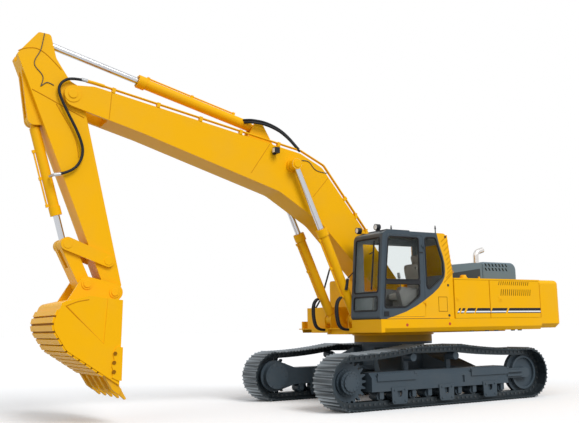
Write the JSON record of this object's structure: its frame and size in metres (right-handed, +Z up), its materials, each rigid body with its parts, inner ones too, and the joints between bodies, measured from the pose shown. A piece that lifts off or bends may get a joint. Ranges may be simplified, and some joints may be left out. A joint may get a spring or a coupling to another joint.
{
  "type": "tracked excavator",
  "caption": "Tracked excavator with a swinging house, glazed cab, two-piece digging front of boom and arm, hydraulic cylinders and a toothed bucket.",
  "frame": {"origin": "on the ground, under the middle of the machine's overall length and width", "axes": "+X forward along the boom, +Y to the cab's side, +Z up"},
  "size_m": [11.4156, 3.34, 6.4448],
  "materials": {
    "yellow": "gloss",
    "slate": "satin",
    "hood_grey": "satin",
    "track_steel": "matt",
    "chrome": "polished",
    "glass": "clear",
    "seat": "matt",
    "black": "satin",
    "engine": "matt"
  },
  "bodies": {
    "undercarriage": {"car_body": "slate", "slew_ring": "track_steel", "track_left": "track_steel", "track_right": "track_steel", "track_frame_left": "slate", "track_frame_right": "slate", "sprocket_left": "slate", "sprocket_right": "slate", "idler_left": "slate", "idler_right": "slate", "rollers_left": "slate", "rollers_right": "slate"},
    "upper": {"main_frame": "yellow", "counterweight": "yellow", "engine_block": "engine", "house_frame": "yellow", "hood_front": "hood_grey", "exhaust": "chrome", "tanks": "yellow", "toolbox": "yellow", "cab_frame": "slate", "cab_glass": "glass", "cab_cowl": "yellow", "cab_seat": "seat", "cab_lamps": "black", "handrail": "black", "foot_hoses": "black"},
    "boom": {"boom": "yellow", "boom_pipes": "yellow", "boom_lamp": "black"},
    "boom_barrels": {"boom_barrels": "yellow"},
    "boom_rods": {"boom_rods": "chrome"},
    "arm": {"arm": "yellow", "arm_hose": "black"},
    "arm_barrel": {"arm_barrel": "yellow"},
    "arm_rod": {"arm_rod": "chrome"},
    "bucket": {"bucket": "yellow", "bucket_teeth": "track_steel"},
    "side_links": {"side_links": "yellow"},
    "push_link": {"push_link": "yellow"},
    "bucket_barrel": {"bucket_barrel": "yellow"},
    "bucket_rod": {"bucket_rod": "chrome"},
    "cab_door": {"cab_door": "slate", "cab_door_glass": "glass"},
    "side_door_front": {"side_door_front": "yellow"},
    "side_door_rear": {"side_door_rear": "yellow"},
    "pump_door": {"pump_door": "yellow"},
    "engine_hood": {"engine_hood": "hood_grey"},
    "toolbox_lid": {"toolbox_lid": "yellow"}
  },
  "joints": [
    {"name": "swing", "type": "hinge", "parent": "undercarriage", "child": "upper", "pos_m": [-2.01, 0, 1.295], "axis": [0, 0, 1], "continuous": true},
    {"name": "boom_lift", "type": "hinge", "parent": "upper", "child": "boom", "pos_m": [-1.76, 0, 2.23], "axis": [0, -1, 0], "range_deg": [-62, 32]},
    {"name": "boom_cylinder_tilt", "type": "hinge", "parent": "upper", "child": "boom_barrels", "pos_m": [-0.79, 0, 1.62], "axis": [0, -1, 0], "range_deg": [-66.1, 34.6], "deforming": ["foot_hoses"]},
    {"name": "boom_cylinder_stroke", "type": "slide", "parent": "boom_barrels", "child": "boom_rods", "axis": [0.4087, 0, 0.9127], "range_m": [-1.0826, 0.559]},
    {"name": "arm_crowd", "type": "hinge", "parent": "boom", "child": "arm", "pos_m": [4.81, 0, 5.42], "axis": [0, 1, 0], "range_deg": [-100, 18], "deforming": ["arm_hose"]},
    {"name": "arm_cylinder_tilt", "type": "hinge", "parent": "boom", "child": "arm_barrel", "pos_m": [1.18, 0, 5.31], "axis": [0, 1, 0], "range_deg": [-0.38, 1.2]},
    {"name": "arm_cylinder_stroke", "type": "slide", "parent": "arm_barrel", "child": "arm_rod", "axis": [0.9699, 0, 0.2436], "range_m": [-1.5456, 0.279]},
    {"name": "bucket_curl", "type": "hinge", "parent": "arm", "child": "bucket", "pos_m": [4.045, 0, 2.105], "axis": [0, 1, 0], "range_deg": [-20, 100]},
    {"name": "side_link_turn", "type": "hinge", "parent": "arm", "child": "side_links", "pos_m": [4.135, 0, 2.63], "axis": [0, 1, 0], "range_deg": [-14.94, 70.7]},
    {"name": "push_link_turn", "type": "hinge", "parent": "bucket", "child": "push_link", "pos_m": [4.51, 0, 2.24], "axis": [0, 1, 0], "range_deg": [-81.24, 17.05]},
    {"name": "bucket_cylinder_tilt", "type": "hinge", "parent": "arm", "child": "bucket_barrel", "pos_m": [5.39, 0, 4.965], "axis": [0, 1, 0], "range_deg": [-3.57, 0.87]},
    {"name": "bucket_cylinder_stroke", "type": "slide", "parent": "bucket_barrel", "child": "bucket_rod", "axis": [-0.2655, 0, -0.9641], "range_m": [-0.1695, 0.8436]},
    {"name": "cab_door_hinge", "type": "hinge", "parent": "upper", "child": "cab_door", "pos_m": [-1.678, 1.486, 2.4], "axis": [0, 0, 1], "range_deg": [0, 165]},
    {"name": "side_door_front_hinge", "type": "hinge", "parent": "upper", "child": "side_door_front", "pos_m": [-3.333, 1.475, 2], "axis": [0, 0, 1], "range_deg": [0, 100]},
    {"name": "side_door_rear_hinge", "type": "hinge", "parent": "upper", "child": "side_door_rear", "pos_m": [-4.79, 1.475, 2], "axis": [0, 0, 1], "range_deg": [0, 100]},
    {"name": "pump_door_hinge", "type": "hinge", "parent": "upper", "child": "pump_door", "pos_m": [-4.79, -1.475, 2], "axis": [0, 0, -1], "range_deg": [0, 100]},
    {"name": "engine_hood_hinge", "type": "hinge", "parent": "upper", "child": "engine_hood", "pos_m": [-4.746, 0, 2.406], "axis": [0, -1, 0], "range_deg": [0, 70]},
    {"name": "toolbox_lid_hinge", "type": "hinge", "parent": "upper", "child": "toolbox_lid", "pos_m": [-1.326, -0.93, 1.866], "axis": [0, -1, 0], "range_deg": [0, 95]}
  ],
  "couplings": [
    {"joint": "boom_cylinder_tilt", "follows": "boom_lift", "ratio": 1.05},
    {"joint": "boom_cylinder_stroke", "follows": "boom_lift", "m_per_rad": 1},
    {"joint": "arm_cylinder_tilt", "follows": "arm_crowd", "ratio": -0.01},
    {"joint": "arm_cylinder_stroke", "follows": "arm_crowd", "m_per_rad": 0.885},
    {"joint": "side_link_turn", "follows": "bucket_curl", "ratio": 0.697},
    {"joint": "push_link_turn", "follows": "bucket_curl", "ratio": -0.8024},
    {"joint": "bucket_cylinder_tilt", "follows": "bucket_curl", "ratio": -0.0337},
    {"joint": "bucket_cylinder_stroke", "follows": "bucket_curl", "m_per_rad": 0.4828}
  ]
}
